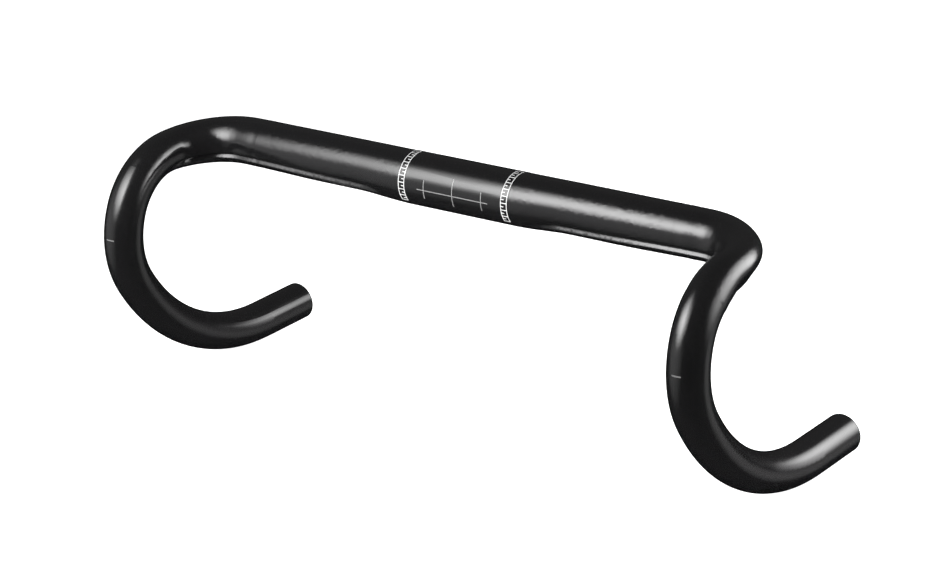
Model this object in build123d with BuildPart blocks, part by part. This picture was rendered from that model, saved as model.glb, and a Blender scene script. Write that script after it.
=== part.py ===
from build123d import *
import os
from math import acos, cos, degrees, radians, sin

# A bare drop handlebar for a road bicycle, built up from moulded carbon sections.
# X runs across the bar, Y to the rear, Z up; the rider faces -Y, so left is +X.
# The origin is the middle of the stem clamp zone, on the axis of the straight tops.
# Millimetres.
#
# The centre section carries the clamp zone and the tops. Each drop is moulded with its
# bend, hook and grip end, and slides into the centre section on a hollow spigot that is
# bonded in. On each side a groove for a cable housing starts beside the clamp zone, runs
# along the lower front of the tops and fades out on the ramp.

# ---- standard interface sizes ------------------------------------------------------
clamp_diameter = 31.8  # what a road stem clamps
grip_diameter = 23.8  # what brake levers and bar tape fit

# ---- centre line, from the clamp outwards ------------------------------------------
clamp_half = 40.0  # end of the full-diameter clamp zone
clamp_step = 0.1  # the clamp zone is finished to size and stands this proud of the tops
tops_start = 77.0  # the clamp zone has blended into the tops here
seam = 150.0  # where a drop meets the centre section
bend_start = 165.0  # end of the straight tops
bend_radius = 37.1
ramp_angle = 5.4  # the ramp leaves the bend pointing this far down
flare = 0.9  # each hook plane leans outwards by this much
hook_arcs = ((42.3, 63.2), (52.0, 55.6), (126.9, 60.4))  # radius and turn of each arc
grip_end = 38.5  # straight end that plugs and end-mounted levers use

# ---- outer skin --------------------------------------------------------------------
tops_depth = 30.4  # front to back
tops_height = 30.0
tops_lift = 0.9  # the tops sit high, flush with the top of the clamp zone
width_taper = (154.5, 223.0)  # stations between which the front-to-back size tapers
height_taper = (158.5, 247.0)
round_from = 250.0  # the section is a true circle from this station on

# ---- cable groove and flats --------------------------------------------------------
# Angles go round the section from the rear over the top: 180 is the front, 270 below.
groove_angle = (216.0, 206.0)  # the groove's middle, at the clamp and at the bend
groove_half = 11.5  # half the angle that the groove takes up
groove_depth = 2.4
groove_skew = 0.35  # the lower wall is steeper than the upper one
groove_rise = (48.0, 74.0)  # stations where the groove starts and reaches full depth
groove_fade = (200.0, 240.0)
# Two broad, shallow flats: the outer lower side of the bend, and the underside before it.
# Each is its middle angle, half angle, depth, rise stations and fade stations.
bend_flat = (325.0, 60.0, 3.2, (165.0, 198.0), (212.0, 245.0))
under_flat = (248.0, 50.0, 0.8, (105.0, 160.0), (175.0, 215.0))

# ---- walls and joints --------------------------------------------------------------
tops_wall = 2.4
grip_wall = 2.1
bore_diameter = 20.0  # each open end is reamed to this for its plug
bore_depth = 38.0
spigot_length = 30.0
spigot_wall = 1.8
bond_gap = 0.3
bond_clear = 0.02  # the film of adhesive stops this short of the tube round it
sleeve_wall = 1.2
sleeve_half = 36.0
rim_round = 0.45

# ---- printed marks -----------------------------------------------------------------
film = 0.12  # thickness of a transfer, let into the surface
proud = 0.02
line_width = 0.5
scale_middle = 37.0  # each clamp scale is a ladder of ticks round the bar, out here
scale_width = 4.6
scale_ends = (-42.0, 93.0)  # in degrees above the front
scale_step = 7.5
datum_angle = -5.5  # the centring line runs along the bar at this angle
datum_half = 25.5
datum_ticks = ((-20.7, -25.0, 16.5), (0.0, -31.0, 31.0), (20.7, -25.0, 16.5))
lever_mark_station = 287.8
lever_mark_length = 5.8
lever_mark_width = 0.8

os.makedirs("parts", exist_ok=True)

clamp_radius = clamp_diameter / 2
grip_radius = grip_diameter / 2


# ---- centre line -------------------------------------------------------------------
lean = radians(flare)
down = Vector(sin(lean), 0, -cos(lean))
forward = Vector(0, -1, 0)
ramp = forward * cos(radians(ramp_angle)) + down * sin(radians(ramp_angle))
bend_turn = degrees(acos(Vector(1, 0, 0).dot(ramp)))
bend_plane = Plane(origin=(bend_start, 0, 0), x_dir=(1, 0, 0), z_dir=Vector(1, 0, 0).cross(ramp))

with BuildLine(bend_plane) as bend_line:
    JernArc(start=(0, 0), tangent=(1, 0), radius=bend_radius, arc_size=bend_turn)

hook_plane = Plane(origin=bend_line.line @ 1, x_dir=forward, z_dir=forward.cross(down))
with BuildLine(hook_plane) as hook_line:
    heading = ramp_angle
    corner = (0, 0)
    for arc_radius, turn in hook_arcs:
        arc = JernArc(
            start=corner,
            tangent=(cos(radians(heading)), sin(radians(heading))),
            radius=arc_radius,
            arc_size=turn,
        )
        heading += turn
        corner = hook_plane.to_local_coords(arc @ 1)
        corner = (corner.X, corner.Y)
    PolarLine(start=corner, length=grip_end, angle=heading)

bend_length = bend_radius * radians(bend_turn)
hook_start = bend_start + bend_length
bar_end = hook_start + hook_line.wire().length


def centre(station):
    """Point and direction of the centre line, this far along it from the clamp."""
    if station <= bend_start:
        return Vector(station, 0, 0), Vector(1, 0, 0)
    wire, along = bend_line.wire(), station - bend_start
    if station > hook_start:
        wire, along = hook_line.wire(), station - hook_start
    point = wire.position_at(along, position_mode=PositionMode.LENGTH)
    return point, wire.tangent_at(along, position_mode=PositionMode.LENGTH)


def section_plane(station):
    """Plane square to the centre line: local x to the rear or outside, local y up."""
    point, direction = centre(station)
    return Plane(origin=point, x_dir=Vector(0, 0, 1).cross(direction), z_dir=direction)


# ---- outer skin --------------------------------------------------------------------
def ease(station, ends):
    """0 before the first end, 1 after the second, and a smooth rise between them."""
    t = min(max((station - ends[0]) / (ends[1] - ends[0]), 0), 1)
    return t * t * (3 - 2 * t)


def blend(start, finish, share):
    return start + (finish - start) * share


def section_size(station):
    """Half depth, half height and lift of the section at a station."""
    into_tops = ease(station, (clamp_half, tops_start))
    half_depth = blend(clamp_radius, tops_depth / 2, into_tops)
    half_height = blend(clamp_radius, tops_height / 2, into_tops)
    slim = ease(station, width_taper)
    lower = ease(station, height_taper)
    half_depth = blend(half_depth, grip_radius, slim)
    half_height = blend(half_height, grip_radius, lower)
    return half_depth, half_height, tops_lift * into_tops * (1 - lower)


def groove_middle(station):
    """Angle of the groove's middle on the section."""
    return blend(*groove_angle, ease(station, (tops_start, bend_start)))


def skin_angles(station):
    """Angles round a section, close together in the groove and wide apart elsewhere."""
    low = groove_middle(station) - groove_half
    high = groove_middle(station) + groove_half
    outside = [high - 360 + (low + 360 - high) * k / 26 for k in range(26)]
    return outside + [low + (high - low) * k / 10 for k in range(10)]


def relief(station, angle):
    """How far the skin lies inside the plain ellipse, at an angle on the section."""
    depth = 0
    for middle, half, deepest, rise, fade in (bend_flat, under_flat):
        off = ((angle - middle + 180) % 360 - 180) / half
        if abs(off) < 1:
            depth += deepest * ease(station, rise) * (1 - ease(station, fade)) * (1 - off**2) ** 2
    off = ((angle - groove_middle(station) + 180) % 360 - 180) / groove_half
    if abs(off) < 1:
        off -= groove_skew * (1 - off**2)
        deepest = groove_depth * ease(station, groove_rise) * (1 - ease(station, groove_fade))
        depth += deepest * (1 - off**2) ** 2
    return depth


def skin_points(station, inset):
    """The section's outline: an ellipse with its groove and flats pressed in."""
    half_depth, half_height, lift = section_size(station)
    for angle in skin_angles(station):
        pressed = inset + relief(station, angle)
        x, y = cos(radians(angle)), sin(radians(angle))
        yield (half_depth - pressed) * x, lift + (half_height - pressed) * y, 0


# Every section is one closed curve with its knots at the same places, so that the
# lofted skin stays light.
skin_knots = skin_angles(seam)
skin_knots.append(skin_knots[0] + 360)


def skin_section(station, inset):
    """One section of the skin, this far inside the outer surface."""
    points = list(skin_points(station, inset))
    with BuildSketch(section_plane(station)) as section:
        with BuildLine():
            add(Edge.make_spline(points, periodic=True, parameters=skin_knots))
        make_face()
    return section.sketch


def skin_loft(first, last, step, inset):
    """Sections between two stations; the inset is a number or varies with the station."""
    count = max(2, round((last - first) / step))
    places = [first + (last - first) * k / count for k in range(count + 1)]
    return [skin_section(s, inset(s) if callable(inset) else inset) for s in places]


# ---- printed marks -----------------------------------------------------------------
def ring_piece(low, high, radius):
    """A thin slice of ring from one angle to another: the section of a transfer."""
    sizes = (radius + proud, radius - film)
    with BuildSketch() as piece:
        with BuildLine():
            outer = CenterArc((0, 0), sizes[0], low, high - low)
            inner = CenterArc((0, 0), sizes[1], low, high - low)
            Line(outer @ 0, inner @ 0)
            Line(outer @ 1, inner @ 1)
        make_face()
    return piece.sketch


def print_on_clamp(x, width, low, high):
    """A mark on the clamp zone: a patch between two angles above the front."""
    plane = Plane.YZ.offset(x - width / 2)
    extrude(plane * ring_piece(180 - high, 180 - low, clamp_radius), amount=width)


line_angle = degrees(line_width / clamp_radius)

with BuildPart() as left_clamp_scale:
    for edge in (-1, 1):
        rail = scale_middle + edge * (scale_width - line_width) / 2
        print_on_clamp(rail, line_width, *scale_ends)
    steps = round((scale_ends[1] - scale_ends[0]) / scale_step)
    for k in range(steps + 1):
        angle = blend(*scale_ends, k / steps)
        length = scale_width if k % 2 == 0 else scale_width / 2
        x = scale_middle - (scale_width - length) / 2
        print_on_clamp(x, length, angle - line_angle / 2, angle + line_angle / 2)
left_clamp_scale.part.label = "left_clamp_scale"

with BuildPart() as right_clamp_scale:
    mirror(left_clamp_scale.part, about=Plane.YZ)
right_clamp_scale.part.label = "right_clamp_scale"

with BuildPart() as centre_mark:
    datum = (datum_angle - line_angle / 2, datum_angle + line_angle / 2)
    print_on_clamp(0, 2 * datum_half, *datum)
    for x, low, high in datum_ticks:
        print_on_clamp(x, line_width, low, high)
centre_mark.part.label = "centre_mark"

mark_point, mark_direction = centre(lever_mark_station)
mark_plane = Plane(origin=mark_point, x_dir=hook_plane.z_dir, z_dir=mark_direction)
mark_half = degrees(lever_mark_length / 2 / grip_radius)

with BuildPart() as left_lever_mark:
    mark_section = mark_plane * ring_piece(90 - mark_half, 90 + mark_half, grip_radius)
    extrude(mark_section, amount=lever_mark_width)
left_lever_mark.part.label = "left_lever_mark"

with BuildPart() as right_lever_mark:
    mirror(left_lever_mark.part, about=Plane.YZ)
right_lever_mark.part.label = "right_lever_mark"

# ---- centre section ----------------------------------------------------------------
# Moulded tube: the clamp zone in the middle, then the tops with their grooves.
def tops_inset(station):
    """The tops start this far inside the clamp zone's surface and grow level with it."""
    return clamp_step * (1 - ease(station, (clamp_half, tops_start)))


with BuildPart() as left_half:
    with BuildSketch(Plane.YZ):
        Circle(clamp_radius)
    extrude(amount=clamp_half)
    loft(skin_loft(clamp_half, seam, 6, tops_inset))
    with BuildSketch(Plane.YZ):
        Circle(clamp_radius - tops_wall)
    extrude(amount=clamp_half, mode=Mode.SUBTRACT)
    inner_skin = skin_loft(clamp_half, seam, 6, lambda s: tops_wall + tops_inset(s))
    loft(inner_skin, mode=Mode.SUBTRACT)

with BuildPart() as centre_section:
    add(left_half.part)
    mirror(left_half.part, about=Plane.YZ)
    for mark in (left_clamp_scale, right_clamp_scale, centre_mark):
        add(mark.part, mode=Mode.SUBTRACT)
centre_section.part.label = "centre_section"

# Extra layers bonded inside the clamp zone, where the stem squeezes the tube.
with BuildPart() as clamp_sleeve:
    with BuildSketch(Plane.YZ):
        Circle(clamp_radius - tops_wall)
        Circle(clamp_radius - tops_wall - sleeve_wall, mode=Mode.SUBTRACT)
    extrude(amount=sleeve_half, both=True)
clamp_sleeve.part.label = "clamp_sleeve"

# ---- drops -------------------------------------------------------------------------
# Moulded tube: bend, hook and straight grip end. Its inner end is thick and carries a
# hollow spigot that is bonded into the centre section. Its open end is reamed.
spigot_start = seam - spigot_length
spigot_inset = tops_wall + bond_gap
shoulder_inset = spigot_inset + spigot_wall


def drop_inset(station):
    """The drop's wall, thick at the spigot and thin from the bend onwards."""
    return blend(shoulder_inset, grip_wall, ease(station, (seam + 4, seam + 24)))


with BuildPart() as left_drop:
    loft(skin_loft(seam, round_from, 6, 0))
    loft(skin_loft(spigot_start, seam, 10, spigot_inset))
    loft(skin_loft(spigot_start, seam, 10, shoulder_inset), mode=Mode.SUBTRACT)
    loft(skin_loft(seam, round_from, 6, drop_inset), mode=Mode.SUBTRACT)
    with BuildLine() as round_hook:
        hook = hook_line.wire()
        add(hook.trim((round_from - hook_start) / hook.length, 1))
    sweep(skin_section(round_from, 0), path=round_hook.wire())
    sweep(skin_section(round_from, grip_wall), path=round_hook.wire(), mode=Mode.SUBTRACT)
    end_point, end_direction = centre(bar_end)
    with BuildSketch(Plane(origin=end_point, z_dir=end_direction)):
        Circle(bore_diameter / 2)
    extrude(amount=-bore_depth, mode=Mode.SUBTRACT)
    end_face = left_drop.faces().filter_by(GeomType.PLANE).sort_by_distance(end_point)[0]
    fillet(end_face.edges(), radius=rim_round)
    add(left_lever_mark.part, mode=Mode.SUBTRACT)
left_drop.part.label = "left_drop"

with BuildPart() as right_drop:
    mirror(left_drop.part, about=Plane.YZ)
right_drop.part.label = "right_drop"

# Film of adhesive round each spigot, inside the centre section.
with BuildPart() as left_bond_line:
    loft(skin_loft(spigot_start, seam, 10, tops_wall + bond_clear))
    loft(skin_loft(spigot_start, seam, 10, spigot_inset), mode=Mode.SUBTRACT)
left_bond_line.part.label = "left_bond_line"

with BuildPart() as right_bond_line:
    mirror(left_bond_line.part, about=Plane.YZ)
right_bond_line.part.label = "right_bond_line"

# ---- files -------------------------------------------------------------------------
pieces = (
    centre_section,
    clamp_sleeve,
    left_drop,
    right_drop,
    left_bond_line,
    right_bond_line,
    left_clamp_scale,
    right_clamp_scale,
    centre_mark,
    left_lever_mark,
    right_lever_mark,
)
for piece in pieces:
    export_step(piece.part, f"parts/{piece.part.label}.step")

print("bar end", end_point, "pointing", end_direction)
print("centre line from clamp to end", round(bar_end, 1))
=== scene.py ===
from math import cos, pi, radians, sin

import bpy
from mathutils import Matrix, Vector


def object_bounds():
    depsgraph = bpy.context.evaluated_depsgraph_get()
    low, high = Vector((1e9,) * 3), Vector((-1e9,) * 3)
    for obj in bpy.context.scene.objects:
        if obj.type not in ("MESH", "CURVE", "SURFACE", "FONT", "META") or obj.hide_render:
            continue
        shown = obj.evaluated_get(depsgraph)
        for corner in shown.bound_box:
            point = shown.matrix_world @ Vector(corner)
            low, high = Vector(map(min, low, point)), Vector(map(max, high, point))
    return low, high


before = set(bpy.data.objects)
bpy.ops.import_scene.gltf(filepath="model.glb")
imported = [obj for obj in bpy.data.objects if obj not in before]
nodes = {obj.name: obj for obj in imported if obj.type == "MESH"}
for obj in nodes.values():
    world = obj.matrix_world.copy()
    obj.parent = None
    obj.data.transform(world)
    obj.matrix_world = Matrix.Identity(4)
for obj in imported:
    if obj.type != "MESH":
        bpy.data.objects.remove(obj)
cad_low, cad_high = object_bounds()


# ---- camera --------------------------------------------------------------------------
# Stands in front of the bar, towards its left end and a little above, and looks at the
# space between the hooks. A long lens keeps both hooks nearly the same size.
def away(azimuth, height):
    """Direction at an azimuth (0 in front of the bar, 90 to its left) and a height, both
    in degrees."""
    turn, lift = radians(azimuth), radians(height)
    return Vector((sin(turn) * cos(lift), -cos(turn) * cos(lift), sin(lift)))


camera_distance = 1.7576
camera_aim = Vector((0.0113, -0.0132, -0.0542))
back = away(37.2, 17.7)
camera_data = bpy.data.cameras.new("camera")
camera_data.sensor_width = 36.0
camera_data.lens = 116.55
camera_data.clip_start = 0.05
camera_data.clip_end = 50.0
camera = bpy.data.objects.new("camera", camera_data)
camera.location = camera_aim + back * camera_distance
camera.rotation_mode = "QUATERNION"
camera.rotation_quaternion = (-back).to_track_quat("-Z", "Y")
bpy.context.scene.collection.objects.link(camera)
bpy.context.scene.camera = camera


# ---- moulded tubes: centre section and both drops ------------------------------------
# Carbon fibre laid up in a mould, sanded level at the joints and sprayed black under a
# glossy clear coat. The coat has a fine orange peel and its gloss is a little uneven.
def node_input(node, name, value):
    node.inputs[name].default_value = value
    return node


def new_material(name, colour, roughness):
    """A plain material and its shader, ready for its own detail."""
    material = bpy.data.materials.new(name)
    material.use_nodes = True
    shader = material.node_tree.nodes["Principled BSDF"]
    node_input(shader, "Base Color", (*colour, 1.0))
    node_input(shader, "Roughness", roughness)
    return material, shader


grain = bpy.data.node_groups.new("grain", "ShaderNodeTree")
for socket, kind, start in (
    ("Cells per metre", "NodeSocketFloat", 100.0),
    ("Detail", "NodeSocketFloat", 2.0),
    ("Stretch", "NodeSocketVector", (1.0, 1.0, 1.0)),
    ("Low", "NodeSocketFloat", 0.0),
    ("High", "NodeSocketFloat", 1.0),
):
    added = grain.interface.new_socket(socket, in_out="INPUT", socket_type=kind)
    added.default_value = start
grain.interface.new_socket("Value", in_out="OUTPUT", socket_type="NodeSocketFloat")
settings = grain.nodes.new("NodeGroupInput")
place = grain.nodes.new("ShaderNodeTexCoord")
stretched = grain.nodes.new("ShaderNodeVectorMath")
stretched.operation = "MULTIPLY"
cells = grain.nodes.new("ShaderNodeTexNoise")
spread = node_input(grain.nodes.new("ShaderNodeMapRange"), "From Min", 0.3)
node_input(spread, "From Max", 0.7)
result = grain.nodes.new("NodeGroupOutput")
for start, end in (
    (place.outputs["Object"], stretched.inputs[0]),
    (settings.outputs["Stretch"], stretched.inputs[1]),
    (stretched.outputs["Vector"], cells.inputs["Vector"]),
    (settings.outputs["Cells per metre"], cells.inputs["Scale"]),
    (settings.outputs["Detail"], cells.inputs["Detail"]),
    (cells.outputs["Fac"], spread.inputs["Value"]),
    (settings.outputs["Low"], spread.inputs["To Min"]),
    (settings.outputs["High"], spread.inputs["To Max"]),
    (spread.outputs["Result"], result.inputs["Value"]),
):
    grain.links.new(start, end)


def add_grain(tree, per_metre, detail, low, high, stretch=(1.0, 1.0, 1.0)):
    """A value that wanders between low and high over the piece."""
    node = tree.nodes.new("ShaderNodeGroup")
    node.node_tree = grain
    for name, value in (
        ("Cells per metre", per_metre),
        ("Detail", detail),
        ("Stretch", stretch),
        ("Low", low),
        ("High", high),
    ):
        node_input(node, name, value)
    return node.outputs["Value"]


def raise_surface(tree, shader, height, distance):
    bump = node_input(tree.nodes.new("ShaderNodeBump"), "Distance", distance)
    tree.links.new(height, bump.inputs["Height"])
    tree.links.new(bump.outputs["Normal"], shader.inputs["Normal"])


def cover(material, *names):
    """Gives CAD nodes their finish."""
    for name in names:
        nodes[name].data.materials.clear()
        nodes[name].data.materials.append(material)


def even_shading(name):
    """Weighs each face by its size and corner angle where normals are averaged. Without
    it the reflection in the grooves breaks up."""
    even = nodes[name].modifiers.new("even_shading", "WEIGHTED_NORMAL")
    even.mode = "FACE_AREA_WITH_ANGLE"
    even.keep_sharp = True


def black_coat(name):
    """The sprayed black and clear coat. Gives back its uneven gloss as well."""
    material, shader = new_material(name, coat_colour, coat_roughness[0])
    tree = material.node_tree
    peel = add_grain(tree, peel_per_metre, 2.0, 0.0, 1.0)
    raise_surface(tree, shader, peel, peel_height)
    return material, shader, add_grain(tree, 90.0, 3.0, *coat_roughness)


coat_colour = (0.006, 0.006, 0.0063)
coat_roughness = (0.15, 0.2)
peel_per_metre = 700.0
peel_height = 0.000008
glossy_black, coat, gloss = black_coat("glossy_black_coat")
glossy_black.node_tree.links.new(gloss, coat.inputs["Roughness"])
cover(glossy_black, "centre_section")
even_shading("centre_section")


# ---- open ends of the drops ----------------------------------------------------------
# Each drop is sawn square and reamed for its plug, so the cut edge and the bore show the
# bare laminate: dull dark grey, with its layers as fine rings on the cut.
end_point = (0.2041, 0.08663, -0.13043)
end_direction = (-0.00126, 0.99678, 0.08019)
bore_reach = 0.0383
bore_surface = 0.0102
cut_depth = 0.0001
layer = 0.00024
laminate_colour = (0.05, 0.05, 0.052)
laminate_dulling = 0.32


def math_node(tree, operation, *values):
    """A Math node. Each value is a number or another node's output."""
    node = tree.nodes.new("ShaderNodeMath")
    node.operation = operation
    for socket, value in zip(node.inputs, values):
        if isinstance(value, (int, float)):
            socket.default_value = value
        else:
            tree.links.new(value, socket)
    return node.outputs["Value"]


def vector_node(tree, operation, *values):
    node = tree.nodes.new("ShaderNodeVectorMath")
    node.operation = operation
    for socket, value in zip(node.inputs, values):
        if isinstance(value, tuple):
            socket.default_value = value
        else:
            tree.links.new(value, socket)
    single = operation in ("DOT_PRODUCT", "LENGTH", "DISTANCE")
    return node.outputs["Value" if single else "Vector"]


def mix_colours(tree, share, first, second):
    mix = tree.nodes.new("ShaderNodeMix")
    mix.data_type = "RGBA"
    mix.inputs["A"].default_value = (*first, 1.0)
    mix.inputs["B"].default_value = (*second, 1.0)
    tree.links.new(share, mix.inputs["Factor"])
    return mix.outputs["Result"]


drop_coat, drop_shader, gloss = black_coat("glossy_black_drop")
tree = drop_coat.node_tree
place = tree.nodes.new("ShaderNodeTexCoord")
one_side = vector_node(tree, "ABSOLUTE", place.outputs["Object"])
mirrored = vector_node(tree, "MULTIPLY", one_side, (1.0, 0.0, 0.0))
kept = vector_node(tree, "MULTIPLY", place.outputs["Object"], (0.0, 1.0, 1.0))
either_side = vector_node(tree, "ADD", mirrored, kept)
from_end = vector_node(tree, "SUBTRACT", either_side, end_point)
along = vector_node(tree, "DOT_PRODUCT", from_end, end_direction)
sideways = vector_node(tree, "CROSS_PRODUCT", from_end, end_direction)
off_axis = vector_node(tree, "LENGTH", sideways)
on_cut = math_node(tree, "GREATER_THAN", along, -cut_depth)
in_reach = math_node(tree, "GREATER_THAN", along, -bore_reach)
inside = math_node(tree, "LESS_THAN", off_axis, bore_surface)
in_bore = math_node(tree, "MULTIPLY", in_reach, inside)
bare = math_node(tree, "MAXIMUM", on_cut, in_bore)
turns = math_node(tree, "MULTIPLY", off_axis, 2 * pi / layer)
rings = math_node(tree, "SINE", turns)
speckle = add_grain(tree, 1200.0, 2.0, 0.3, 0.7)
tone = math_node(tree, "MULTIPLY_ADD", rings, 0.25, speckle)
shade = math_node(tree, "MULTIPLY", bare, tone)
cut_colour = mix_colours(tree, shade, coat_colour, laminate_colour)
tree.links.new(cut_colour, drop_shader.inputs["Base Color"])
dull = math_node(tree, "MULTIPLY_ADD", bare, laminate_dulling, gloss)
tree.links.new(dull, drop_shader.inputs["Roughness"])
cover(drop_coat, "left_drop", "right_drop")
even_shading("left_drop")
even_shading("right_drop")


# ---- hidden pieces: clamp sleeve and bond lines --------------------------------------
# The sleeve is bare laminate bonded inside the clamp zone. Each bond line is a film of
# grey epoxy between a drop's spigot and the centre section.
bare_laminate, fibres = new_material("bare_laminate", (0.03, 0.03, 0.032), 0.55)
tree = bare_laminate.node_tree
lengthwise = (0.1, 1.0, 1.0)
weave = add_grain(tree, 900.0, 2.0, 0.0, 1.0, lengthwise)
fibre_colour = mix_colours(tree, weave, (0.022, 0.022, 0.024), (0.045, 0.045, 0.047))
tree.links.new(fibre_colour, fibres.inputs["Base Color"])
raise_surface(tree, fibres, weave, 0.00005)
cover(bare_laminate, "clamp_sleeve")

grey_epoxy, resin = new_material("grey_epoxy", (0.12, 0.12, 0.13), 0.5)
tree = grey_epoxy.node_tree
tree.links.new(add_grain(tree, 400.0, 3.0, 0.4, 0.6), resin.inputs["Roughness"])
raise_surface(tree, resin, add_grain(tree, 600.0, 2.0, 0.0, 1.0), 0.00003)
cover(grey_epoxy, "left_bond_line", "right_bond_line")


# ---- printed marks -------------------------------------------------------------------
# Transfers let into the surface: white scales for the clamp's tilt, and thinner grey
# lines for its middle and for the levers. The ink is slightly thin in places.
def ink(name, pale, thin):
    material, print_shader = new_material(name, pale, 0.3)
    tree = material.node_tree
    patchy = add_grain(tree, 1500.0, 3.0, 0.0, 1.0)
    tree.links.new(mix_colours(tree, patchy, thin, pale), print_shader.inputs["Base Color"])
    tree.links.new(add_grain(tree, 300.0, 2.0, 0.25, 0.35), print_shader.inputs["Roughness"])
    return material


white_ink = ink("white_ink", (0.72, 0.72, 0.72), (0.5, 0.5, 0.5))
cover(white_ink, "left_clamp_scale", "right_clamp_scale")
grey_ink = ink("grey_ink", (0.26, 0.26, 0.26), (0.17, 0.17, 0.17))
cover(grey_ink, "centre_mark")
faint_ink = ink("faint_ink", (0.15, 0.15, 0.15), (0.09, 0.09, 0.09))
cover(faint_ink, "left_lever_mark", "right_lever_mark")


# ---- floor and light -----------------------------------------------------------------
# A pale floor that runs out of sight into a white background, and large soft lamps.
def lamp(name, stands, distance, back_to, size, power):
    """A round softbox, brightest in its middle. The way it stands from the bar and the
    way its back points are each an azimuth and a height."""
    data = bpy.data.lights.new(name, "AREA")
    data.shape = "ELLIPSE"
    data.size, data.size_y = size
    data.energy = power
    data.use_nodes = True
    tree = data.node_tree
    across = tree.nodes.new("ShaderNodeNewGeometry")
    off_middle = vector_node(tree, "DISTANCE", across.outputs["Parametric"], (0.5, 0.5, 0.0))
    fall = node_input(tree.nodes.new("ShaderNodeMapRange"), "From Min", 0.5)
    fall.interpolation_type = "SMOOTHSTEP"
    node_input(fall, "From Max", 0.04)
    tree.links.new(off_middle, fall.inputs["Value"])
    tree.links.new(fall.outputs["Result"], tree.nodes["Emission"].inputs["Strength"])
    light = bpy.data.objects.new(name, data)
    light.location = away(*stands) * distance
    light.rotation_mode = "QUATERNION"
    light.rotation_quaternion = away(*back_to).to_track_quat("Z", "Y")
    light.visible_camera = False
    bpy.context.scene.collection.objects.link(light)


lamp("front_softbox", (-23.5, 29.0), 0.75, (-58.0, 32.0), (1.0, 0.88), 30.0)
lamp("back_softbox", (127.0, 15.0), 0.8, (115.0, 15.0), (1.3, 0.86), 29.0)

floor_size = 60.0
floor_level = cad_low.z - 0.0005
bpy.ops.object.select_all(action="DESELECT")
bpy.ops.mesh.primitive_plane_add(size=floor_size, location=(0.0, 0.0, floor_level))
floor = bpy.context.object
floor.name = "pale_floor"
floor.visible_glossy = False
pale, floor_shader = new_material("pale_floor", (0.9, 0.9, 0.9), 0.8)
node_input(floor_shader, "Emission Color", (1.0, 1.0, 1.0, 1.0))
node_input(floor_shader, "Emission Strength", 1.0)
floor.data.materials.append(pale)

# The room round the lamps is nearly dark, with a pale ceiling and two dim glows.
world = bpy.data.worlds.new("studio")
bpy.context.scene.world = world
world.use_nodes = True
tree = world.node_tree
looking = tree.nodes.new("ShaderNodeTexCoord").outputs["Generated"]
ceiling = node_input(tree.nodes.new("ShaderNodeMapRange"), "From Min", -0.2)
node_input(ceiling, "From Max", 0.7)
node_input(ceiling, "To Max", 0.1)
upwards = vector_node(tree, "DOT_PRODUCT", looking, (0.0, 0.0, 1.0))
tree.links.new(upwards, ceiling.inputs["Value"])
room = ceiling.outputs["Result"]
# Each glow is the way to its middle, the cosine of the angle to its edge, and its strength.
for towards, edge, strength in (
    ((0.6147, 0.7326, -0.2924), 0.93, 0.5),
    ((-0.7071, -0.7071, 0.0), 0.72, 0.8),
):
    glow = node_input(tree.nodes.new("ShaderNodeMapRange"), "From Min", edge)
    node_input(glow, "To Max", strength)
    nearness = vector_node(tree, "DOT_PRODUCT", looking, towards)
    tree.links.new(nearness, glow.inputs["Value"])
    room = math_node(tree, "ADD", room, glow.outputs["Result"])
dark = tree.nodes["Background"]
node_input(dark, "Color", (1.0, 1.0, 1.0, 1.0))
tree.links.new(room, dark.inputs["Strength"])
white = node_input(tree.nodes.new("ShaderNodeBackground"), "Color", (1.0, 1.0, 1.0, 1.0))
seen = tree.nodes.new("ShaderNodeLightPath")
either = tree.nodes.new("ShaderNodeMixShader")
tree.links.new(seen.outputs["Is Camera Ray"], either.inputs["Fac"])
tree.links.new(dark.outputs["Background"], either.inputs[1])
tree.links.new(white.outputs["Background"], either.inputs[2])
tree.links.new(either.outputs["Shader"], tree.nodes["World Output"].inputs["Surface"])
bpy.context.scene.view_settings.view_transform = "Standard"
